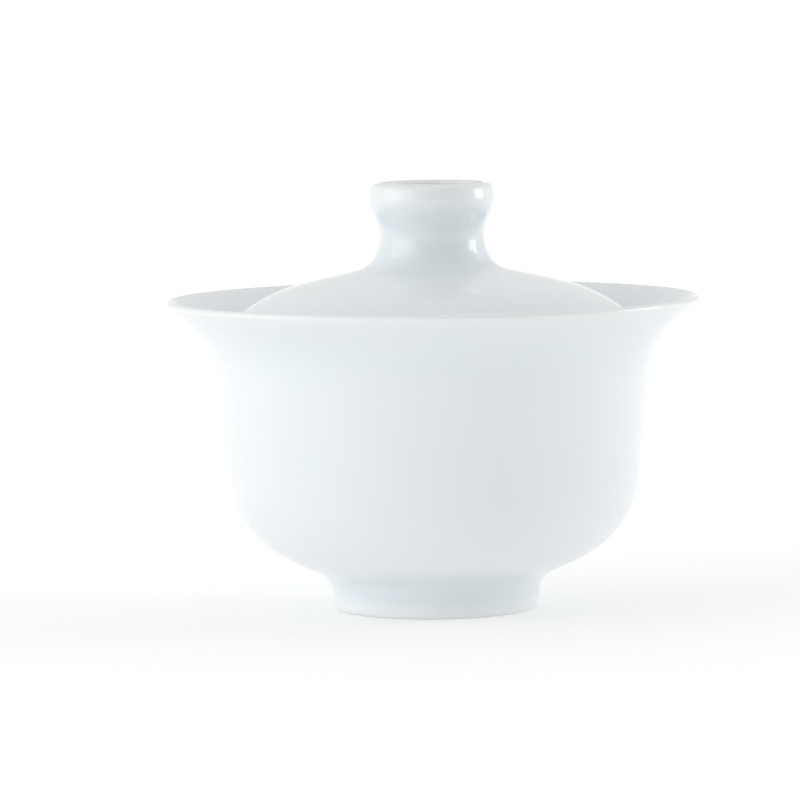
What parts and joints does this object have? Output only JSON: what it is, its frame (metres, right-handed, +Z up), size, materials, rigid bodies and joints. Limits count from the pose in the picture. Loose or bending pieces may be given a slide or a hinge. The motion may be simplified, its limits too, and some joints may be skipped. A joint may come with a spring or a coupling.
{
  "type": "gaiwan",
  "caption": "Lidded porcelain tea bowl with a flared lip, a low foot ring, and a domed lid with a waisted hollow knob that sits inside the lip and lifts straight off.",
  "frame": {"origin": "middle of the foot ring's contact plane, where the bowl stands on a table", "axes": "+Z up along the axis that bowl, lid and knob are turned about; X and Y are alike"},
  "size_m": [0.1, 0.1, 0.0801],
  "materials": {
    "porcelain": "fired porcelain, bare where it shows on the foot ring and the knob's top ring",
    "glaze": "clear glaze over white porcelain, cool white and glossy"
  },
  "bodies": {
    "bowl": {"bowl_body": "porcelain", "bowl_glaze": "glaze", "foot_well_glaze": "glaze"},
    "lid": {"lid_body": "porcelain", "lid_knob": "porcelain", "lid_glaze": "glaze", "knob_cup_glaze": "glaze"}
  },
  "joints": [
    {"name": "lid_lift", "type": "slide", "parent": "bowl", "child": "lid", "axis": [0, 0, 1], "range_m": [0, 0.03]}
  ]
}
